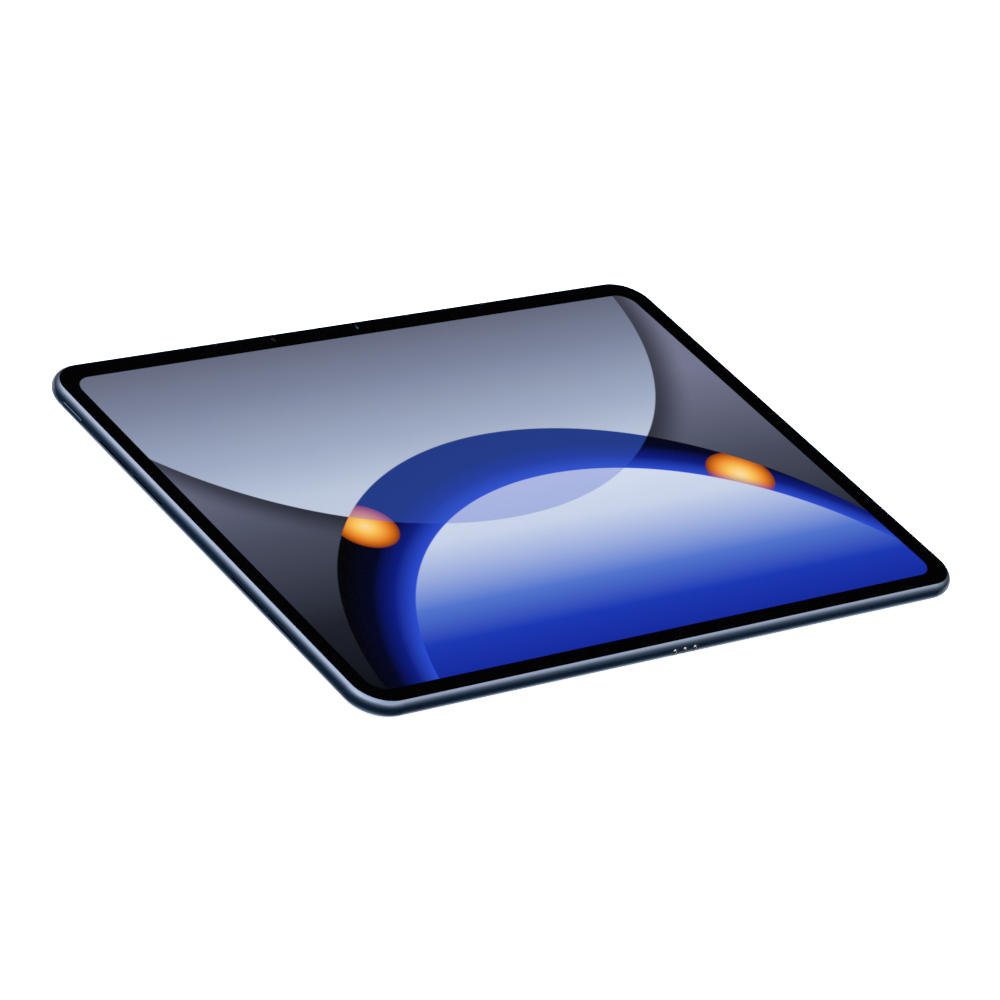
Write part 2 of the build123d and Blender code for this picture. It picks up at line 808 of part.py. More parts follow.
with BuildPart() as keyboard_magnets:
    with BuildSketch(Plane.XY.offset(back_wall)):
        for x in (-96, -72, -48, -24, 26, 50, 74, 98):
            with Locations((x, -cavity_y + 2)):
                Rectangle(14, 3)
    extrude(amount=2.4)
    chamfer(keyboard_magnets.faces().group_by(Axis.Z)[-1].edges(), length=0.2)
keyboard_magnets.part.label = "keyboard_magnets"

# ---------------------------------------------------------------- rear camera
rear_axis = Axis((rear_camera_x, rear_camera_y, 0), (0, 0, 1))
rear_plane = Plane(origin=(rear_camera_x, rear_camera_y, 0), x_dir=(1, 0, 0), z_dir=(0, -1, 0))
rear_glass_radius = 12.9
rear_glass_floor = -1.5
rear_glass_thickness = 0.6
rear_glass_top = rear_glass_floor + rear_glass_thickness
ring_bore = 11.6
ring_flange = 0.4
ring_flange_reach = 0.9

with BuildPart() as rear_camera_ring:
    with BuildSketch(rear_plane):
        with BuildLine():
            outer = ring_diameter / 2
            Line((outer, back_wall), (outer, -ring_height + 0.7))
            ThreePointArc(
                (outer, -ring_height + 0.7), (outer - 0.2, -ring_height + 0.2), (outer - 0.7, -ring_height)
            )
            Polyline(
                (outer - 0.7, -ring_height),
                (rear_glass_radius, -ring_height),
                (rear_glass_radius, rear_glass_top),
                (ring_bore, rear_glass_top),
                (ring_bore, back_wall + ring_flange),
                (outer + ring_flange_reach, back_wall + ring_flange),
                (outer + ring_flange_reach, back_wall),
                (outer, back_wall),
            )
        make_face()
    revolve(axis=rear_axis)
rear_camera_ring.part.label = "rear_camera_ring"

with BuildPart() as rear_camera_glass:
    with BuildSketch(Plane.XY.offset(rear_glass_floor)):
        with Locations((rear_camera_x, rear_camera_y)):
            Circle(rear_glass_radius)
    extrude(amount=rear_glass_thickness)
    chamfer(rear_camera_glass.faces().sort_by(Axis.Z)[0].edges(), length=0.1)
rear_camera_glass.part.label = "rear_camera_glass"

lens_x = rear_camera_x - 3.0
lens_radius = 3.6
lens_gap = 0.2
module_side = 11.0
module_floor = -0.3
lens_floor = rear_glass_top + focus_travel + 0.15
lens_length = 2.5

with BuildPart() as rear_camera_module:
    with BuildSketch(Plane.XY.offset(module_floor)):
        with Locations((lens_x, rear_camera_y)):
            RectangleRounded(module_side, module_side, 1)
    extrude(amount=speaker_roof - module_floor)
    with BuildSketch(Plane.XY.offset(module_floor)):
        with Locations((lens_x, rear_camera_y)):
            Circle(lens_radius + lens_gap)
    extrude(amount=lens_floor + lens_length + 0.4 - module_floor, mode=Mode.SUBTRACT)
rear_camera_module.part.label = "rear_camera_module"

with BuildPart() as rear_camera_lens:
    with BuildSketch(Plane.XY.offset(lens_floor)):
        with Locations((lens_x, rear_camera_y)):
            Circle(lens_radius)
    extrude(amount=lens_length)
    with BuildSketch(Plane.XY.offset(lens_floor)):
        with Locations((lens_x, rear_camera_y)):
            Circle(2.4)
    extrude(amount=0.5, taper=30, mode=Mode.SUBTRACT)
rear_camera_lens.part.label = "rear_camera_lens"

with BuildPart() as flash_led:
    with BuildSketch(Plane.XY.offset(-0.5)):
        with Locations((rear_camera_x + 7.2, rear_camera_y)):
            RectangleRounded(3.2, 3.2, 0.4)
    extrude(amount=1.8)
flash_led.part.label = "flash_led"

# ---------------------------------------------------------------- microphones and antennas
with BuildPart() as microphones:
    with BuildSketch(edge_plane(cavity_y)):
        with Locations(*[(x, side_opening_height) for x in microphone_x]):
            RectangleRounded(3.6, 2.8, 0.3)
            Circle(0.4, mode=Mode.SUBTRACT)
    extrude(amount=1.1)
microphones.part.label = "microphones"

antenna_length = 26.0

with BuildPart() as wifi_antennas:
    with BuildSketch(Plane.XY.offset(back_wall)):
        with Locations(*[(x, cavity_y - 0.2) for x in antenna_x]):
            Rectangle(antenna_length, 0.4)
    extrude(amount=3.2)
    with BuildSketch(Plane.XY.offset(back_wall)):
        with Locations(*[(x, cavity_y - 2.4) for x in antenna_x]):
            Rectangle(antenna_length, 4.0)
    extrude(amount=0.4)
wifi_antennas.part.label = "wifi_antennas"

cable_radius = 0.4
cable_height = back_wall + 0.4 + cable_radius


def antenna_cable(side):
    """Thin coaxial lead from the antenna's foot to the side of the mainboard."""
    start = (side * (abs(antenna_x[0]) - 6), cavity_y - 3, cable_height)
    with BuildPart() as cable:
        with BuildLine() as route:
            FilletPolyline(
                start,
                (side * (abs(antenna_x[0]) - 14), cavity_y - 7, cable_height),
                (side * (abs(antenna_x[0]) - 22), cavity_y - 15, cable_height),
                (side * (board_width / 2 - 2), cavity_y - 18, cable_height),
                radius=6,
            )
        with BuildSketch(Plane(origin=route.wire() @ 0, z_dir=route.wire() % 0)):
            Circle(cable_radius)
        sweep(path=route.wire())
    return cable


with BuildPart() as antenna_cables:
    add(antenna_cable(-1).part)
    add(antenna_cable(1).part)
antenna_cables.part.label = "antenna_cables"

# ---------------------------------------------------------------- write every piece
pieces = [
    rear_housing,
    antenna_inserts,
    cover_glass,
    bezel_mask,
    optical_adhesive,
    display_panel,
    backlight_unit,
    display_tray,
    glass_adhesive_ring,
    display_driver_board,
    graphite_sheet,
    display_flex,
    usb_flex,
    dock_flex,
    front_sensor_flex,
    front_camera,
    front_camera_lens,
    light_sensor,
    power_button,
    volume_up_button,
    volume_down_button,
    power_switch,
    volume_switches,
    switch_brackets,
    *speakers,
    speaker_meshes,
    battery_cell_left,
    battery_cell_right,
    battery_boards,
    battery_adhesive_strips,
    mainboard,
    board_screws,
    shield_cans,
    processor,
    storage_chip,
    power_chip,
    wireless_module,
    board_connectors,
    usb_c_shell,
    usb_c_tongue,
    usb_c_board,
    dock_contacts,
    dock_insulators,
    keyboard_magnets,
    rear_camera_ring,
    rear_camera_glass,
    rear_camera_module,
    rear_camera_lens,
    flash_led,
    microphones,
    wifi_antennas,
    antenna_cables,
]
os.makedirs("parts", exist_ok=True)
for piece in pieces:
    export_step(piece.part, f"parts/{piece.part.label}.step")
print(len(pieces), "pieces")
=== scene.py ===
"""Looks for the slate tablet: materials, lit display, fine pieces, floor, light and camera."""

import json
import math

import bmesh
import bpy
from mathutils import Matrix, Quaternion, Vector


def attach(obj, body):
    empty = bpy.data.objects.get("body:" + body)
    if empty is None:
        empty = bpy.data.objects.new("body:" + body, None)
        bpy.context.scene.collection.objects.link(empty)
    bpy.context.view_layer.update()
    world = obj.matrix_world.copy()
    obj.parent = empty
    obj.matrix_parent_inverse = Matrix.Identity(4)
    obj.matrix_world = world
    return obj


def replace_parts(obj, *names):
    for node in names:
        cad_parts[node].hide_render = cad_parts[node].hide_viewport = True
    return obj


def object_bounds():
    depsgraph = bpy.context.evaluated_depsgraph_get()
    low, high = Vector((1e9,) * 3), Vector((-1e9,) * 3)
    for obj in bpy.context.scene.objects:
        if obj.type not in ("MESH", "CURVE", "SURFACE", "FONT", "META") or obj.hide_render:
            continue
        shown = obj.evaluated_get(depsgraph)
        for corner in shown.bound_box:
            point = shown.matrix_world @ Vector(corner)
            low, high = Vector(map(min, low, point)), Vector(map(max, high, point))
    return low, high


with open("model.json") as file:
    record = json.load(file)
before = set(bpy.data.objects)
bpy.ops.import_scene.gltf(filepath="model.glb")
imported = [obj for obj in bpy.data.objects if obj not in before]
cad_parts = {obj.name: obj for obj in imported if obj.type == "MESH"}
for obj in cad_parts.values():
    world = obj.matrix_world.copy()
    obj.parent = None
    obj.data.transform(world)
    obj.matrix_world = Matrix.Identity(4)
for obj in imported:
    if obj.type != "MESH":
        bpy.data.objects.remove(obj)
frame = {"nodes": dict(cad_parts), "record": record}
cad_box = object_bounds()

MM = 0.001
nodes = frame["nodes"]
scene = bpy.context.scene


# ------------------------------------------------------------------ node building
def linear(red, green, blue):
    """Colour written as 0-255 display values, turned into linear light with alpha."""
    values = []
    for level in (red, green, blue):
        share = level / 255
        values.append(share / 12.92 if share <= 0.04045 else ((share + 0.055) / 1.055) ** 2.4)
    return (*values, 1.0)


class Value:
    """A float socket that can be used in ordinary sums; each sum adds a Math node."""

    def __init__(self, tree, socket):
        self.tree = tree
        self.socket = socket

    def math(self, operation, *others, clamp=False):
        node = self.tree.nodes.new("ShaderNodeMath")
        node.operation = operation
        node.use_clamp = clamp
        for place, term in zip(node.inputs, (self, *others)):
            if isinstance(term, Value):
                self.tree.links.new(term.socket, place)
            else:
                place.default_value = term
        return Value(self.tree, node.outputs[0])

    def __add__(self, other):
        return self.math("ADD", other)

    def __sub__(self, other):
        return self.math("SUBTRACT", other)

    def __mul__(self, other):
        return self.math("MULTIPLY", other)

    def __truediv__(self, other):
        return self.math("DIVIDE", other)

    def inverse(self):
        """1 minus the value."""
        return (self * -1.0) + 1.0

    def ramp(self, low, high):
        """Smooth step: 0 below low, 1 above high."""
        node = self.tree.nodes.new("ShaderNodeMapRange")
        node.interpolation_type = "SMOOTHSTEP"
        node.inputs["From Min"].default_value = low
        node.inputs["From Max"].default_value = high
        self.tree.links.new(self.socket, node.inputs["Value"])
        return Value(self.tree, node.outputs["Result"])

    def colours(self, stops, low=0.0, high=1.0):
        """Colour ramp over low..high; stops are (position, colour) pairs in the same units."""
        node = self.tree.nodes.new("ShaderNodeValToRGB")
        ramp = node.color_ramp
        while len(ramp.elements) < len(stops):
            ramp.elements.new(0.5)
        for element, (position, colour) in zip(ramp.elements, stops):
            element.position = (position - low) / (high - low)
            element.color = colour
        scaled = (self - low) / (high - low)
        self.tree.links.new(scaled.socket, node.inputs["Fac"])
        return node.outputs["Color"]


class Shader:
    """A new material with one Principled shader and helpers that wire textures into it."""

    def __init__(self, name):
        self.material = bpy.data.materials.new(name)
        self.material.use_nodes = True
        self.tree = self.material.node_tree
        self.principled = self.tree.nodes["Principled BSDF"]
        self.output = self.tree.nodes["Material Output"]
        self.place = self.tree.nodes.new("ShaderNodeTexCoord").outputs["Object"]

    def set(self, **values):
        for name, value in values.items():
            self.principled.inputs[name.replace("_", " ")].default_value = value
        return self

    def link(self, source, name):
        socket = source.socket if isinstance(source, Value) else source
        self.tree.links.new(socket, self.principled.inputs[name])

    def axis(self, name):
        split = self.tree.nodes.new("ShaderNodeSeparateXYZ")
        self.tree.links.new(self.place, split.inputs[0])
        return Value(self.tree, split.outputs[name])

    def noise(self, size, detail=2.0, roughness=0.5, stretch=(1, 1, 1)):
        """Noise whose blotches are about size metres across."""
        mapping = self.tree.nodes.new("ShaderNodeMapping")
        mapping.inputs["Scale"].default_value = stretch
        self.tree.links.new(self.place, mapping.inputs["Vector"])
        node = self.tree.nodes.new("ShaderNodeTexNoise")
        node.inputs["Scale"].default_value = 1 / size
        node.inputs["Detail"].default_value = detail
        node.inputs["Roughness"].default_value = roughness
        self.tree.links.new(mapping.outputs[0], node.inputs["Vector"])
        return Value(self.tree, node.outputs["Fac"])

    def mix(self, factor, first, second, blend="MIX"):
        """Mix two colours, each given as a socket or as a tuple."""
        node = self.tree.nodes.new("ShaderNodeMix")
        node.data_type = "RGBA"
        node.blend_type = blend
        for index, term in ((0, factor), (6, first), (7, second)):
            socket = term.socket if isinstance(term, Value) else term
            if isinstance(socket, (tuple, float, int)):
                node.inputs[index].default_value = socket
            else:
                self.tree.links.new(socket, node.inputs[index])
        return node.outputs[2]

    def bump(self, height, depth, strength=1.0):
        """Surface relief: height is 0..1, depth its real size in metres."""
        node = self.tree.nodes.new("ShaderNodeBump")
        node.inputs["Strength"].default_value = strength
        node.inputs["Distance"].default_value = depth
        self.tree.links.new(height.socket, node.inputs["Height"])
        self.tree.links.new(node.outputs[0], self.principled.inputs["Normal"])


# ------------------------------------------------------------------ places on the object, in millimetres
CAMERA_WINDOW = ((1.4, 101.85), 1.4)  # centre and radius of the front camera's window
SENSOR_WINDOW = ((-39.4, 101.85), 1.1)
LENS_CENTRE = (109.5, 78.0)  # rear camera's lens
REAR_CENTRE = (112.5, 78.0)  # round cover over lens and flash
FLASH_CENTRE = (119.7, 78.0)
REAR_MICROPHONE = (119.7, 84.0)

# discs on the display: across, along and radius
DISPLAY_HALF = 97.0  # the picture's colours run over this much either way along Y
SLATE_DISC = (-14.0, 124.0, 146.0)
NAVY_DISC = (8.0, -114.0, 141.0)
COBALT_DISC = (18.0, -134.0, 132.0)
AMBER_DISCS = ((-79.0, -12.0, 13.0), (99.0, -22.0, 14.0))

# ------------------------------------------------------------------ materials
OXIDE_ROUGHNESS = 0.07
OXIDE_IOR = 1.8
GLASS_IOR = 1.5
GLASS_ROUGHNESS = 0.02
LEVEL_FACES = (0.985, 0.9995)  # upward share of a normal: matte ground edge below, polished face above
FRONT_GLINT = 0.75  # size in mm of the painted teal glint on the front camera's lens
# size in mm of the painted teal glint on the rear camera's lens
REAR_GLINT = 1.8
VEIL = 0.4  # how strongly the overlap of the big discs is tinted blue


def anodised(name, base, bright, roughness, grain=0.00018):
    """Bead-blasted, dyed aluminium under a thin clear oxide."""
    shader = Shader(name)
    cloud = shader.noise(0.02, detail=3)
    speck = shader.noise(grain, detail=1)
    shader.link(shader.mix(cloud * 0.6 + speck * 0.4, base, bright), "Base Color")
    shader.link(speck * 0.08 + cloud * 0.04 + roughness, "Roughness")
    shader.bump(speck, 0.000004)
    shader.set(Metallic=0.9, Coat_Weight=1.0, Coat_Roughness=OXIDE_ROUGHNESS, Coat_IOR=OXIDE_IOR)
    return shader.material


def sheet_metal(name, base, bright, roughness, stretch=(1, 14, 1), metallic=1.0):
    """Rolled or drawn metal with a faint grain one way."""
    shader = Shader(name)
    grain = shader.noise(0.004, detail=3, stretch=stretch)
    shader.link(shader.mix(grain, base, bright), "Base Color")
    shader.link(grain * 0.15 + roughness, "Roughness")
    shader.bump(grain, 0.00001)
    shader.set(Metallic=metallic)
    return shader.material


def moulded(name, base, bright, roughness, grain=0.0004, depth=0.00001, specular=0.5):
    """Moulded or printed plastic with a fine texture; specular 0 for what is bonded under glass."""
    shader = Shader(name)
    speck = shader.noise(grain, detail=2)
    cloud = shader.noise(0.012)
    shader.link(shader.mix(speck * 0.5 + cloud * 0.5, base, bright), "Base Color")
    shader.link(speck * 0.12 + roughness, "Roughness")
    shader.bump(speck, depth)
    shader.set(Specular_IOR_Level=specular)
    return shader.material


def clear_glass(name, tint, mirrored=1.0):
    """Thin clear sheet: light goes straight through, and only its outer faces mirror. An anti-reflection
    coating cuts the mirrored share."""
    shader = Shader(name)
    tree = shader.tree
    tree.nodes.remove(shader.principled)
    through = tree.nodes.new("ShaderNodeBsdfTransparent")
    mirror = tree.nodes.new("ShaderNodeBsdfGlossy")
    fresnel = tree.nodes.new("ShaderNodeFresnel")
    blend = tree.nodes.new("ShaderNodeMixShader")
    geometry = tree.nodes.new("ShaderNodeNewGeometry")
    inner = Value(tree, geometry.outputs["Backfacing"])
    facing = tree.nodes.new("ShaderNodeSeparateXYZ")
    tree.links.new(geometry.outputs["True Normal"], facing.inputs[0])
    polished = Value(tree, facing.outputs["Z"]).math("ABSOLUTE").ramp(*LEVEL_FACES)
    smudge = shader.noise(0.03, detail=3)
    colour = shader.mix(smudge, tint, linear(255, 255, 255))
    tree.links.new(colour, through.inputs["Color"])
    mirror.inputs["Roughness"].default_value = GLASS_ROUGHNESS
    fresnel.inputs["IOR"].default_value = GLASS_IOR
    share = Value(tree, fresnel.outputs[0]) * inner.inverse() * polished * mirrored
    tree.links.new(share.socket, blend.inputs[0])
    tree.links.new(through.outputs[0], blend.inputs[1])
    tree.links.new(mirror.outputs[0], blend.inputs[2])
    tree.links.new(blend.outputs[0], shader.output.inputs["Surface"])
    return shader.material


def glint_painted_lens(name):
    """Dark lens with a painted teal glint near the middle of either camera's lens, standing in for light
    mirrored in its coating.
    """
    shader = Shader(name)
    x = shader.axis("X") / MM
    y = shader.axis("Y") / MM

    def reach(centre, spread):
        """Distance from a lens centre, in units of that lens's painted glint."""
        across = (x - centre[0]).math("POWER", 2.0)
        along = (y - centre[1]).math("POWER", 2.0)
        return (across + along).math("SQRT") / spread

    nearest = reach(CAMERA_WINDOW[0], FRONT_GLINT).math("MINIMUM", reach(LENS_CENTRE, REAR_GLINT))
    # painted glint: bright teal at each lens middle, fading to near black, stands in for light mirrored in
    # the coating
    painted_glint = nearest.colours(
        [(0, linear(60, 220, 196)), (0.45, linear(24, 130, 120)), (0.75, linear(14, 22, 60)),
         (1.1, linear(2, 2, 4))], 0, 2,
    )
    shader.link(painted_glint, "Base Color")
    shader.link(shader.noise(0.001) * 0.1 + 0.3, "Roughness")
    shader.set(Metallic=0.9)
    return shader.material


def display_picture(name):
    """Lit display: big soft discs laid over each other in slate, cobalt, navy and amber."""
    shader = Shader(name)
    x = shader.axis("X") / MM
    y = shader.axis("Y") / MM

    def inside(disc):
        """Depth inside a disc's edge, negative outside."""
        across = (x - disc[0]).math("POWER", 2.0)
        along = (y - disc[1]).math("POWER", 2.0)
        return (across + along).math("SQRT") * -1.0 + disc[2]

    def edge(depth, soft=0.3):
        return depth.ramp(-soft, soft)

    upper = inside(SLATE_DISC)
    halo = inside(NAVY_DISC)
    lower = inside(COBALT_DISC)
    picture = y.colours(
        [(-97, linear(12, 15, 22)), (-60, linear(30, 33, 43)), (-10, linear(74, 78, 96)),
         (45, linear(118, 121, 145))], -DISPLAY_HALF, DISPLAY_HALF,
    )
    slate = y.colours(
        [(-30, linear(206, 214, 233)), (10, linear(191, 202, 222)), (35, linear(162, 173, 198)),
         (70, linear(128, 136, 161)), (97, linear(102, 108, 128))], -DISPLAY_HALF, DISPLAY_HALF,
    )
    picture = shader.mix(upper.ramp(-16.0, 0.0) * 0.75, picture, linear(18, 20, 27))
    picture = shader.mix(edge(upper), picture, slate)

    deep = lower.colours(
        [(-26, linear(2, 2, 4)), (-16, linear(2, 5, 34)), (-8, linear(12, 28, 128)),
         (0, linear(44, 78, 212))], -30, 0,
    )
    for disc in AMBER_DISCS:
        glow = inside(disc)
        amber = glow.colours(
            [(0, linear(140, 46, 6)), (4, linear(236, 130, 30)), (9, linear(255, 200, 92)),
             (16, linear(255, 236, 188))], 0, 20,
        )
        deep = shader.mix(edge(glow) * edge(lower, 6.0).inverse(), deep, amber)
    cobalt = y.colours(
        [(-97, linear(20, 42, 160)), (-80, linear(27, 56, 182)), (-62, linear(84, 118, 208)),
         (-45, linear(160, 178, 226)), (-28, linear(204, 214, 236)), (-6, linear(216, 224, 242))],
        -DISPLAY_HALF, DISPLAY_HALF,
    )
    body = shader.mix(edge(lower), deep, cobalt)
    veil = shader.mix(VEIL, body, linear(58, 94, 208))
    covered = shader.mix(edge(upper), body, veil)
    picture = shader.mix(edge(halo), picture, covered)
    shader.link(picture, "Emission Color")
    shader.set(Base_Color=linear(2, 2, 3), Emission_Strength=1.0, Specular_IOR_Level=0.0)
    return shader.material


PAINTS = {
    "housing_metal": anodised("housing_metal", linear(18, 48, 80), linear(24, 58, 92), 0.28),
    "button_metal": anodised("button_metal", linear(22, 54, 88), linear(28, 64, 100), 0.26),
    "ring_metal": anodised("ring_metal", linear(18, 46, 76), linear(26, 60, 94), 0.22),
    "antenna_plastic": moulded("antenna_plastic", linear(34, 48, 72), linear(40, 56, 82), 0.45),
    "cover_glass": clear_glass("cover_glass", linear(252, 253, 254), mirrored=0.3),
    "black_ink": moulded("black_ink", linear(1, 1, 1), linear(2, 2, 3), 0.5, specular=0.0),
    "clear_adhesive": clear_glass("clear_adhesive", linear(252, 253, 254)),
    "display_cells": display_picture("display_cells"),
    "backlight_film": moulded("backlight_film", linear(226, 226, 222), linear(240, 240, 236), 0.5),
    "tray_metal": sheet_metal("tray_metal", linear(176, 178, 180), linear(202, 204, 206), 0.35),
    "black_adhesive": moulded("black_adhesive", linear(16, 16, 17), linear(28, 28, 30), 0.8),
    "circuit_board": moulded("circuit_board", linear(8, 52, 40), linear(14, 70, 54), 0.4),
    "graphite": sheet_metal("graphite", linear(64, 64, 68), linear(92, 92, 96), 0.4, metallic=0.4),
    "flex_film": moulded("flex_film", linear(150, 82, 24), linear(186, 110, 36), 0.35),
    "camera_black": moulded("camera_black", linear(8, 8, 9), linear(16, 16, 18), 0.6, specular=0.05),
    "lens_glass": glint_painted_lens("lens_glass"),
    "switch_metal": sheet_metal("switch_metal", linear(176, 176, 174), linear(212, 212, 210), 0.25),
    "bracket_metal": sheet_metal("bracket_metal", linear(158, 160, 164), linear(190, 192, 196), 0.3),
    "mesh_metal": sheet_metal("mesh_metal", linear(34, 44, 60), linear(48, 60, 80), 0.4),
    "battery_foil": sheet_metal("battery_foil", linear(196, 198, 202), linear(222, 224, 228), 0.3),
    "adhesive_white": moulded("adhesive_white", linear(220, 220, 218), linear(240, 240, 238), 0.6),
    "screw_metal": sheet_metal("screw_metal", linear(150, 150, 154), linear(186, 186, 190), 0.28),
    "shield_metal": sheet_metal("shield_metal", linear(190, 192, 194), linear(214, 216, 218), 0.3),
    "chip_package": moulded("chip_package", linear(20, 20, 22), linear(34, 34, 36), 0.55),
    "connector_plastic": moulded("connector_plastic", linear(10, 10, 11), linear(22, 22, 24), 0.4),
    "usb_metal": sheet_metal("usb_metal", linear(120, 124, 130), linear(160, 164, 170), 0.25),
    "contact_metal": sheet_metal("contact_metal", linear(196, 194, 190), linear(214, 212, 208), 0.05),
    "magnet_metal": sheet_metal("magnet_metal", linear(168, 168, 170), linear(200, 200, 202), 0.2),
    "camera_glass": clear_glass("camera_glass", linear(232, 236, 240)),
    "lens_barrel": moulded("lens_barrel", linear(5, 5, 6), linear(14, 14, 16), 0.25),
    "led_phosphor": moulded("led_phosphor", linear(226, 204, 110), linear(244, 228, 150), 0.3),
    "antenna_film": sheet_metal("antenna_film", linear(188, 146, 92), linear(214, 174, 116), 0.3),
    "cable_jacket": moulded("cable_jacket", linear(14, 14, 15), linear(26, 26, 28), 0.5),
    "speaker_plastic": moulded("speaker_plastic", linear(12, 12, 14), linear(26, 26, 28), 0.5),
    "diaphragm_film": moulded("diaphragm_film", linear(48, 48, 52), linear(64, 64, 68), 0.4),
}

for part in frame["record"]["subparts"]:
    target = nodes[part["node"]]
    target.data.materials.clear()
    target.data.materials.append(PAINTS[part["material_slot"]])

# ------------------------------------------------------------------ fine pieces
TURN_STEPS = 48  # points on a full circle
CORNER_STEPS = 24  # points on a quarter circle


def piece(name, bm, paint, body, smooth=False):
    """Turn a bmesh, in millimetres, into a piece that rides on a body."""
    bmesh.ops.recalc_face_normals(bm, faces=bm.faces)
    bmesh.ops.scale(bm, vec=(MM, MM, MM), verts=bm.verts)
    for face in bm.faces:
        face.smooth = smooth
    mesh = bpy.data.meshes.new(name)
    bm.to_mesh(mesh)
    bm.free()
    thing = bpy.data.objects.new(name, mesh)
    scene.collection.objects.link(thing)
    mesh.materials.append(PAINTS[paint])
    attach(thing, body)
    return thing


def circle(centre, radius, steps=TURN_STEPS):
    turns = [2 * math.pi * step / steps for step in range(steps)]
    return [(centre[0] + radius * math.cos(turn), centre[1] + radius * math.sin(turn)) for turn in turns]


def rounded(length, width, corner, steps=CORNER_STEPS):
    """Outline of a rounded rectangle about the origin."""
    points = []
    for quarter, (side, end) in enumerate(((1, 1), (-1, 1), (-1, -1), (1, -1))):
        middle = (side * (length / 2 - corner), end * (width / 2 - corner))
        for step in range(steps + 1):
            turn = (quarter + step / steps) * math.pi / 2
            points.append((middle[0] + corner * math.cos(turn), middle[1] + corner * math.sin(turn)))
    return points


def plate(bm, outline, holes, floor_height, roof_height):
    """Flat sheet with holes between two heights."""
    edges = []
    for loop in (outline, *holes):
        corners = [bm.verts.new((*point, floor_height)) for point in loop]
        edges += [bm.edges.new(pair) for pair in zip(corners, corners[1:] + corners[:1])]
    filled = bmesh.ops.triangle_fill(bm, edges=edges, use_beauty=True)
    faces = [thing for thing in filled["geom"] if isinstance(thing, bmesh.types.BMFace)]
    raised = bmesh.ops.extrude_face_region(bm, geom=faces, use_keep_orig=True)
    top = [thing for thing in raised["geom"] if isinstance(thing, bmesh.types.BMVert)]
    bmesh.ops.translate(bm, verts=top, vec=(0, 0, roof_height - floor_height))


def turned(bm, centre, profile, closed=True, steps=TURN_STEPS):
    """Lathe a profile of (radius, height) points round an upright axis."""
    rings = []
    for radius, height in profile:
        if radius == 0:
            rings.append([bm.verts.new((*centre, height))])
        else:
            rings.append([bm.verts.new((*point, height)) for point in circle(centre, radius, steps)])
    pairs = list(zip(rings, rings[1:]))
    if closed:
        pairs.append((rings[-1], rings[0]))
    for lower, upper in pairs:
        for step in range(steps):
            following = (step + 1) % steps
            if len(lower) == 1 and len(upper) == 1:
                break
            if len(lower) == 1:
                bm.faces.new((lower[0], upper[step], upper[following]))
            elif len(upper) == 1:
                bm.faces.new((lower[step], lower[following], upper[0]))
            else:
                bm.faces.new((lower[step], lower[following], upper[following], upper[step]))


def brick(bm, low, high):
    made = bmesh.ops.create_cube(bm, size=1.0)["verts"]
    size = [top - bottom for bottom, top in zip(low, high)]
    bmesh.ops.scale(bm, vec=size, verts=made)
    bmesh.ops.translate(bm, vec=[(bottom + top) / 2 for bottom, top in zip(low, high)], verts=made)


# length, width and corner radius
DISPLAY = (273.7, 193.65, 7.3)
BORDER = (287.8, 207.85, 12.85)
PRINT_FLOOR = 6.41  # the ink lies just under the glass
PRINT_ROOF = 6.49
PICTURE_INSET = 0.02  # the picture is this much thinner than the ink, top and bottom


def display_image():
    """The lit picture as its own sheet just under the glass."""
    bm = bmesh.new()
    plate(bm, rounded(*DISPLAY), [], PRINT_FLOOR + PICTURE_INSET, PRINT_ROOF - PICTURE_INSET)
    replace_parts(piece("display_image", bm, "display_cells", "housing"), "optical_adhesive")


def bezel_print():
    """Black ink border with windows for the camera and the light sensor."""
    bm = bmesh.new()
    windows = [circle(*CAMERA_WINDOW), circle(*SENSOR_WINDOW)]
    plate(bm, rounded(*BORDER), [rounded(*DISPLAY), *windows], PRINT_FLOOR, PRINT_ROOF)
    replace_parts(piece("bezel_print", bm, "black_ink", "housing"), "bezel_mask")


def camera_iris():
    """Stepped black ring round the front camera's lens."""
    bm = bmesh.new()
    profile = [(1.38, 6.42), (1.38, 6.48), (1.22, 6.48), (0.95, 6.3), (0.95, 6.24), (1.2, 6.24)]
    turned(bm, CAMERA_WINDOW[0], profile)
    piece("front_camera_iris", bm, "black_ink", "housing")


CELL = 0.4  # pitch of the holes in the speaker grilles
CELL_SIDES = 8
CELL_SPREAD = 1.6  # moves a cell's eight corners out towards those of a square
HOLE_RADIUS = 0.14
SLOT_PLACES = (-53.9, -31.8, 31.8, 53.9)
SLOT_HEIGHT = 3.35
GRILLE_FACE = 142.45  # outer face, from the middle of the object
GRILLE_SHEET = 0.2
GRILLE_MARGIN = 0.01
GRILLE_CELLS = (50, 5)


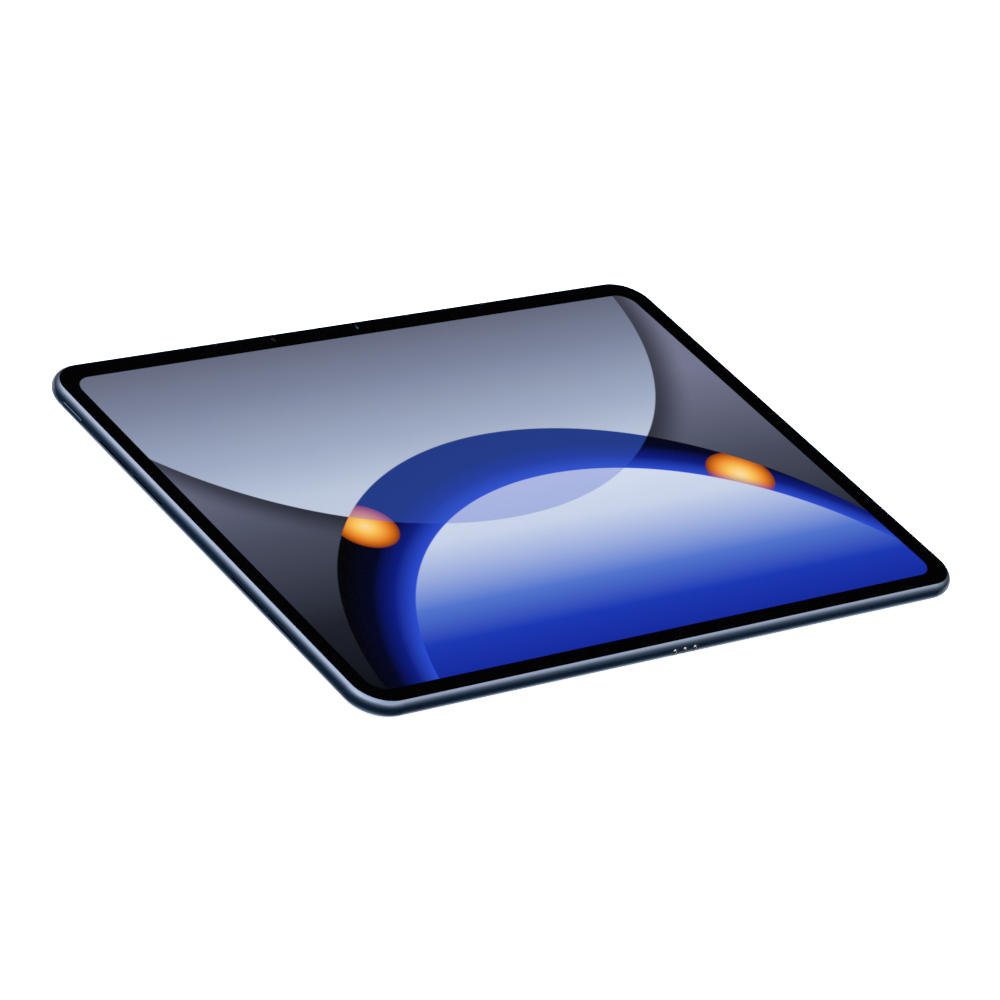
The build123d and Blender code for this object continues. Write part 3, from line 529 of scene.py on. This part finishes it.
def grille(bm, side, middle):
    """Perforated sheet behind one slot; every cell is a near square with a round hole."""
    turns = [2 * math.pi * (step + 0.5) / CELL_SIDES for step in range(CELL_SIDES)]
    half = CELL / 2
    reach = half / math.cos(math.pi / CELL_SIDES)
    outer_x = side * (GRILLE_FACE - GRILLE_MARGIN)
    inner_x = side * (GRILLE_FACE - GRILLE_SHEET + GRILLE_MARGIN)
    for column in range(GRILLE_CELLS[0]):
        for row in range(GRILLE_CELLS[1]):
            y = middle + (column - (GRILLE_CELLS[0] - 1) / 2) * CELL
            z = SLOT_HEIGHT + (row - (GRILLE_CELLS[1] - 1) / 2) * CELL
            rims = []
            for x in (outer_x, inner_x):
                square, hole = [], []
                for turn in turns:
                    sideways, upward = math.cos(turn), math.sin(turn)
                    across = max(-half, min(half, reach * sideways * CELL_SPREAD))
                    up = max(-half, min(half, reach * upward * CELL_SPREAD))
                    square.append(bm.verts.new((x, y + across, z + up)))
                    hole.append(bm.verts.new((x, y + HOLE_RADIUS * sideways, z + HOLE_RADIUS * upward)))
                rims.append((square, hole))
            (near_square, near_hole), (far_square, far_hole) = rims
            for step in range(CELL_SIDES):
                after = (step + 1) % CELL_SIDES
                bm.faces.new((near_square[step], near_square[after], near_hole[after], near_hole[step]))
                bm.faces.new((near_hole[step], near_hole[after], far_hole[after], far_hole[step]))
                bm.faces.new((far_hole[step], far_hole[after], far_square[after], far_square[step]))


def speaker_grilles():
    bm = bmesh.new()
    for side in (-1, 1):
        for middle in SLOT_PLACES:
            grille(bm, side, middle)
    bmesh.ops.remove_doubles(bm, verts=bm.verts, dist=0.001)
    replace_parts(piece("speaker_grilles", bm, "mesh_metal", "housing"), "speaker_meshes")


PADS = 12  # in each row
PAD_PITCH = 0.5
PAD_HALF_WIDTH = 0.13
PAD_ENDS = (140.4, 144.4)
TONGUE_HALF = 0.35
PAD_DEPTH = 0.04  # into the tongue
PAD_RISE = 0.015  # above its face


def socket_pads():
    """Two rows of twelve contacts on the USB-C tongue."""
    bm = bmesh.new()
    for row in (-1, 1):
        face = SLOT_HEIGHT + row * TONGUE_HALF
        for step in range(PADS):
            y = (step - (PADS - 1) / 2) * PAD_PITCH
            bottom, top = sorted((face - row * PAD_DEPTH, face + row * PAD_RISE))
            low = (PAD_ENDS[0], y - PAD_HALF_WIDTH, bottom)
            brick(bm, low, (PAD_ENDS[1], y + PAD_HALF_WIDTH, top))
    piece("socket_pads", bm, "contact_metal", "housing")


REAR_PRINT = (11.5, -0.88, -0.82)  # radius and the two heights
REAR_OPENINGS = ((LENS_CENTRE, 4.3, TURN_STEPS), (FLASH_CENTRE, 2.1, 32), (REAR_MICROPHONE, 0.4, 16))


def rear_camera_print():
    """Black print behind the round cover, with openings for the lens, the flash and a microphone."""
    bm = bmesh.new()
    openings = [circle(*opening) for opening in REAR_OPENINGS]
    plate(bm, circle(REAR_CENTRE, REAR_PRINT[0], 2 * TURN_STEPS), openings, *REAR_PRINT[1:])
    piece("rear_camera_print", bm, "black_ink", "housing")


DOME_RADIUS = 2.1
DOME_RISE = 0.38
DOME_EDGE = -0.06
DOME_BACK = -0.04
DOME_STEPS = 8


def rear_lens_trim():
    """Stepped barrel rings and the domed front element, moving with the lens."""
    bm = bmesh.new()
    profile = [(3.5, -0.47), (3.5, -0.3), (3.3, -0.3), (3.3, -0.42), (3.05, -0.42), (3.05, -0.32),
               (2.8, -0.32), (2.8, -0.44), (2.55, -0.44), (2.5, -0.49), (3.45, -0.49)]
    turned(bm, LENS_CENTRE, profile)
    piece("rear_lens_rings", bm, "lens_barrel", "rear_lens")
    bm = bmesh.new()
    turns = [math.pi / 2 * step / DOME_STEPS for step in range(DOME_STEPS + 1)]
    dome = [(DOME_RADIUS * math.sin(turn), DOME_EDGE - DOME_RISE * math.cos(turn)) for turn in turns]
    dome[0] = (0, dome[0][1])
    turned(bm, LENS_CENTRE, [*dome, (0, DOME_BACK)], closed=False)
    piece("rear_lens_glass", bm, "lens_glass", "rear_lens", smooth=True)


RIDGES = 6
RIDGE_PITCH = 0.3
RIDGE_STEP = 0.02  # each ridge is a slope with a steep back
RIDGE_TOP = -0.74
RIDGE_VALLEY = -0.66
FLASH_RADIUS = 1.95
FLASH_BACK = -0.6


def flash_window():
    """Ridged window in front of the flash."""
    bm = bmesh.new()
    profile = [(0, RIDGE_TOP)]
    for ring in range(1, RIDGES + 1):
        radius = ring * RIDGE_PITCH
        profile += [(radius - RIDGE_STEP, RIDGE_VALLEY), (radius, RIDGE_TOP)]
    profile += [(FLASH_RADIUS, RIDGE_TOP), (FLASH_RADIUS, FLASH_BACK), (0, FLASH_BACK)]
    turned(bm, FLASH_CENTRE, profile, closed=False)
    piece("flash_window", bm, "camera_glass", "housing")


display_image()
bezel_print()
camera_iris()
speaker_grilles()
socket_pads()
rear_camera_print()
rear_lens_trim()
flash_window()

# ------------------------------------------------------------------ floor, light, camera
lowest = cad_box[0][2]
FLOOR_GAP = 0.05 * MM
FLOOR_REACH = 30.0
FLOOR_GLOW = 0.85  # fills the contact shadow


def floor():
    """Pale ground that is seen from above only and isn't mirrored in the object."""
    shader = Shader("floor_pale")
    tree = shader.tree
    cloud = shader.noise(0.6)
    shader.link(shader.mix(cloud, linear(244, 244, 244), linear(248, 248, 248)), "Base Color")
    shader.link(shader.mix(cloud, linear(250, 250, 250), linear(252, 252, 252)), "Emission Color")
    shader.set(Roughness=0.9, Emission_Strength=FLOOR_GLOW)
    hidden = tree.nodes.new("ShaderNodeBsdfTransparent")
    sided = tree.nodes.new("ShaderNodeMixShader")
    geometry = tree.nodes.new("ShaderNodeNewGeometry")
    tree.links.new(geometry.outputs["Backfacing"], sided.inputs[0])
    tree.links.new(shader.principled.outputs[0], sided.inputs[1])
    tree.links.new(hidden.outputs[0], sided.inputs[2])
    tree.links.new(sided.outputs[0], shader.output.inputs["Surface"])
    mesh = bpy.data.meshes.new("floor")
    reach = FLOOR_REACH
    level = lowest - FLOOR_GAP
    corners = [(-reach, -reach, level), (reach, -reach, level), (reach, reach, level), (-reach, reach, level)]
    mesh.from_pydata(corners, [], [(0, 1, 2, 3)])
    plane = bpy.data.objects.new("floor", mesh)
    plane.data.materials.append(shader.material)
    plane.visible_glossy = False
    scene.collection.objects.link(plane)


# world brightness against the upward part of the direction
SKY_STRENGTH = 3.2
SKY_LEAN = 0.55  # brighter towards the far left
BOUNCE = 0.8  # light off the floor beyond the object
SHADE = 0.45  # how much darker the sky is behind the camera
AWAY = (0.743, 0.669)  # level direction away from the camera
PATCH = (34, 20)  # degrees from the mirrored view: the dark patch starts, and is full
COOL = (0.62, 0.8, 1.0, 1.0)  # tint of the light from below
SKY = (
    (-1.0, 0.26), (-0.92, 0.12), (-0.8, 0.02), (-0.5, 0.012), (-0.25, 0.005), (-0.07, 0.008), (0.09, 0.04),
    (0.24, 0.12), (0.39, 0.24), (0.49, 0.46), (0.61, 0.82), (0.68, 1.1), (0.8, 1.2), (1.0, 0.9),
)


def studio():
    """World light by direction: bright above, dark under the horizon, and a dark patch where the level
    glass would mirror it towards the camera. The camera itself sees plain white."""
    world = bpy.data.worlds.new("studio")
    world.use_nodes = True
    scene.world = world
    tree = world.node_tree
    background = tree.nodes["Background"]
    direction = tree.nodes.new("ShaderNodeTexCoord").outputs["Generated"]
    split = tree.nodes.new("ShaderNodeSeparateXYZ")
    tree.links.new(direction, split.inputs[0])
    height = Value(tree, split.outputs["Z"])
    sky = Value(tree, height.colours([(at, (level, level, level, 1)) for at, level in SKY], -1.0, 1.0))
    along = Value(tree, split.outputs["X"])
    deep = Value(tree, split.outputs["Y"])
    across = deep - along
    away = along * AWAY[0] + deep * AWAY[1]
    bounce = away.ramp(0.1, 0.6) * height.ramp(0.05, -0.25) * BOUNCE
    shade = away.ramp(-0.45, -0.9) * height.ramp(0.1, 0.45) * SHADE
    dot = tree.nodes.new("ShaderNodeVectorMath")
    dot.operation = "DOT_PRODUCT"
    dot.inputs[1].default_value = Vector(MIRRORED).normalized()
    tree.links.new(direction, dot.inputs[0])
    outer, inner = (math.cos(math.radians(angle)) for angle in PATCH)
    patch = Value(tree, dot.outputs["Value"]).ramp(outer, inner)
    total = (sky * (across * SKY_LEAN + SKY_STRENGTH) * shade.inverse() + bounce) * patch.inverse()
    tree.links.new(total.socket, background.inputs["Strength"])
    cool = tree.nodes.new("ShaderNodeMix")
    cool.data_type = "RGBA"
    tree.links.new(height.ramp(-0.1, -0.5).socket, cool.inputs[0])
    cool.inputs[6].default_value = (1, 1, 1, 1)
    cool.inputs[7].default_value = COOL
    tree.links.new(cool.outputs[2], background.inputs["Color"])
    plain = tree.nodes.new("ShaderNodeBackground")
    plain.inputs["Color"].default_value = (1, 1, 1, 1)
    seen = tree.nodes.new("ShaderNodeLightPath").outputs["Is Camera Ray"]
    choose = tree.nodes.new("ShaderNodeMixShader")
    tree.links.new(seen, choose.inputs[0])
    tree.links.new(background.outputs[0], choose.inputs[1])
    tree.links.new(plain.outputs[0], choose.inputs[2])
    tree.links.new(choose.outputs[0], tree.nodes["World Output"].inputs["Surface"])


CAMERA_PLACE = Vector((-1.15397, -1.03627, 0.92399))
CAMERA_AZIMUTH = math.radians(-48.034)
CAMERA_ELEVATION = math.radians(30.905)
CAMERA_ROLL = math.radians(19.15)
CAMERA_LENS = 174.15
MIRRORED = (
    -math.sin(CAMERA_AZIMUTH) * math.cos(CAMERA_ELEVATION),
    math.cos(CAMERA_AZIMUTH) * math.cos(CAMERA_ELEVATION),
    math.sin(CAMERA_ELEVATION),
)  # where the level glass mirrors the camera's line of sight


def camera():
    data = bpy.data.cameras.new("camera")
    data.lens = CAMERA_LENS
    data.sensor_width = 36.0
    data.clip_start = 0.01
    seat = bpy.data.objects.new("camera", data)
    forward = Vector((MIRRORED[0], MIRRORED[1], -MIRRORED[2]))
    turn = forward.to_track_quat("-Z", "Y") @ Quaternion((0, 0, 1), CAMERA_ROLL)
    seat.matrix_world = Matrix.Translation(CAMERA_PLACE) @ turn.to_matrix().to_4x4()
    scene.collection.objects.link(seat)
    scene.camera = seat


KEY_PLACE = (-0.9, -0.2, 2.2)
KEY_SIZE = 2.4
KEY_WATTS = 10


def key_light():
    data = bpy.data.lights.new("key", "AREA")
    data.shape = "DISK"
    data.size = KEY_SIZE
    data.energy = KEY_WATTS
    lamp = bpy.data.objects.new("key", data)
    lamp.location = KEY_PLACE
    lamp.rotation_mode = "QUATERNION"
    lamp.rotation_quaternion = (-lamp.location).to_track_quat("-Z", "Y")
    scene.collection.objects.link(lamp)


floor()
studio()
camera()
key_light()
scene.view_settings.view_transform = "Standard"
